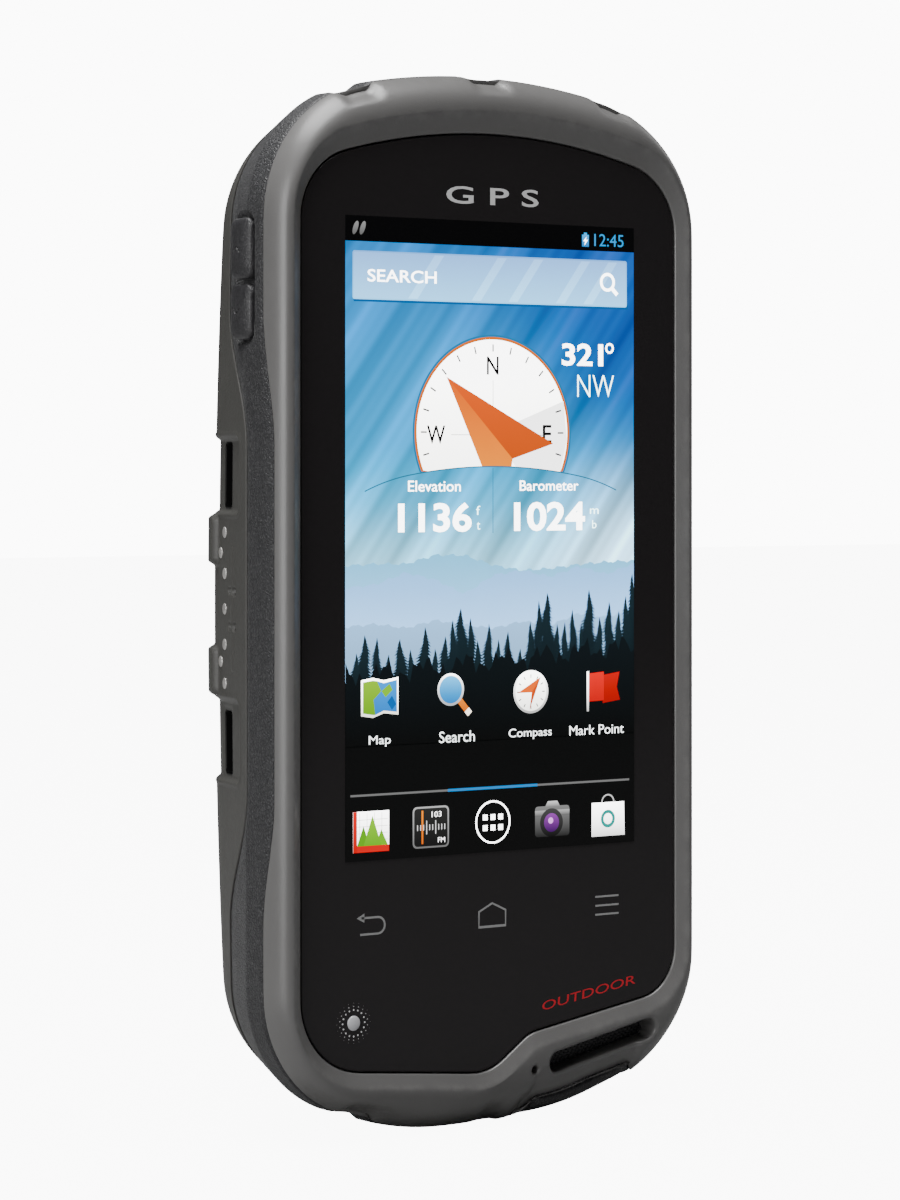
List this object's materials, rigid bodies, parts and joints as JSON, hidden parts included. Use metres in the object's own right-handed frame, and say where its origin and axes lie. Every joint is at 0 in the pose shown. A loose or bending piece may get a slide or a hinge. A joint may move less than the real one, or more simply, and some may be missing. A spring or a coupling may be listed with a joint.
{
  "type": "handheld gps unit",
  "caption": "Rugged handheld GPS unit with a tall touch display, rubber grip band, side keys, docking contacts and a lift-off battery door with a quarter-turn latch.",
  "frame": {"origin": "centre of the unit's box", "axes": "+Z towards the unit's top, -Y out of the display, +X towards the right side seen from the front"},
  "size_m": [0.0758, 0.0362, 0.15],
  "materials": {
    "bezel_plastic": "satin",
    "grip_rubber": "fine leather grain",
    "housing_plastic": "fine texture",
    "glass_black": "polished, printed black behind",
    "screen": "lit display",
    "seal_rubber": "matte",
    "black_plastic": "satin",
    "steel": "satin",
    "contact_metal": "satin plated",
    "gold": "foil",
    "board_green": "solder mask",
    "ceramic": "unglazed",
    "lens": "polished",
    "clear": "clear",
    "battery_wrap": "printed wrap"
  },
  "bodies": {
    "case": {"front_bezel": "bezel_plastic", "cover_glass": "glass_black", "glass_adhesive": "seal_rubber", "display_module": "screen", "display_frame": "steel", "display_ribbon": "gold", "grip_band": "grip_rubber", "case_seal": "seal_rubber", "rear_housing": "housing_plastic", "dock_contact_1": "contact_metal", "dock_contact_2": "contact_metal", "dock_contact_3": "contact_metal", "dock_contact_4": "contact_metal", "dock_contact_5": "contact_metal", "dock_contact_6": "contact_metal", "dock_contact_7": "contact_metal", "dock_carrier": "black_plastic", "case_screw_1": "steel", "case_screw_2": "steel", "case_screw_3": "steel", "case_screw_4": "steel", "battery_contact_1": "contact_metal", "battery_contact_2": "contact_metal", "main_board": "board_green", "processor_shield": "steel", "radio_shield": "steel", "gps_antenna": "ceramic", "card_socket": "steel", "usb_socket": "steel", "hdmi_socket": "steel", "audio_jack": "black_plastic", "vibration_motor": "steel", "speaker_mesh": "black_plastic", "speaker": "black_plastic", "microphone": "steel", "sensor_lens": "clear", "light_sensor": "black_plastic", "camera_module": "black_plastic", "camera_window": "lens", "flash_lens": "clear", "camera_trim": "black_plastic", "volume_up_switch": "steel", "volume_down_switch": "steel", "power_switch": "steel"},
    "door": {"battery_door": "housing_plastic", "door_seal": "seal_rubber"},
    "latch": {"latch_stud": "steel"},
    "ring": {"latch_ring": "steel"},
    "battery": {"battery_pack": "battery_wrap"},
    "card": {"memory_card": "black_plastic"},
    "volume_up": {"volume_up_key": "grip_rubber"},
    "volume_down": {"volume_down_key": "grip_rubber"},
    "power": {"power_key": "grip_rubber"},
    "usb_flap": {"usb_cover": "grip_rubber"},
    "audio_flap": {"audio_cover": "grip_rubber"}
  },
  "joints": [
    {"name": "door_lift", "type": "slide", "parent": "case", "child": "door", "axis": [0, 1, 0], "range_m": [0, 0.05]},
    {"name": "latch_turn", "type": "hinge", "parent": "door", "child": "latch", "pos_m": [0, 0.0164, -0.047], "axis": [0, 1, 0], "range_deg": [0, 90]},
    {"name": "ring_flip", "type": "hinge", "parent": "latch", "child": "ring", "pos_m": [0, 0.0164, -0.047], "axis": [1, 0, 0], "range_deg": [0, 100]},
    {"name": "battery_lift", "type": "slide", "parent": "case", "child": "battery", "axis": [0, 1, 0], "range_m": [0, 0.025]},
    {"name": "card_slide", "type": "slide", "parent": "case", "child": "card", "axis": [0, 0, 1], "range_m": [0, 0.0045]},
    {"name": "volume_up_press", "type": "slide", "parent": "case", "child": "volume_up", "axis": [1, 0, 0], "range_m": [0, 0.0005], "stiffness_N_per_m": 2500, "springref_m": -0.0001},
    {"name": "volume_down_press", "type": "slide", "parent": "case", "child": "volume_down", "axis": [1, 0, 0], "range_m": [0, 0.0005], "stiffness_N_per_m": 2500, "springref_m": -0.0001},
    {"name": "power_press", "type": "slide", "parent": "case", "child": "power", "axis": [-1, 0, 0], "range_m": [0, 0.0005], "stiffness_N_per_m": 2500, "springref_m": -0.0001},
    {"name": "usb_flap_hinge", "type": "hinge", "parent": "case", "child": "usb_flap", "pos_m": [0.0375, -0.0082, -0.057], "axis": [0, 1, 0], "range_deg": [0, 110]},
    {"name": "audio_flap_hinge", "type": "hinge", "parent": "case", "child": "audio_flap", "pos_m": [0.0375, -0.0063, 0.0382], "axis": [0, 1, 0], "range_deg": [0, 110]}
  ],
  "couplings": [
    {"joint": "battery_lift", "follows": "door_lift", "ratio": 0.5}
  ]
}
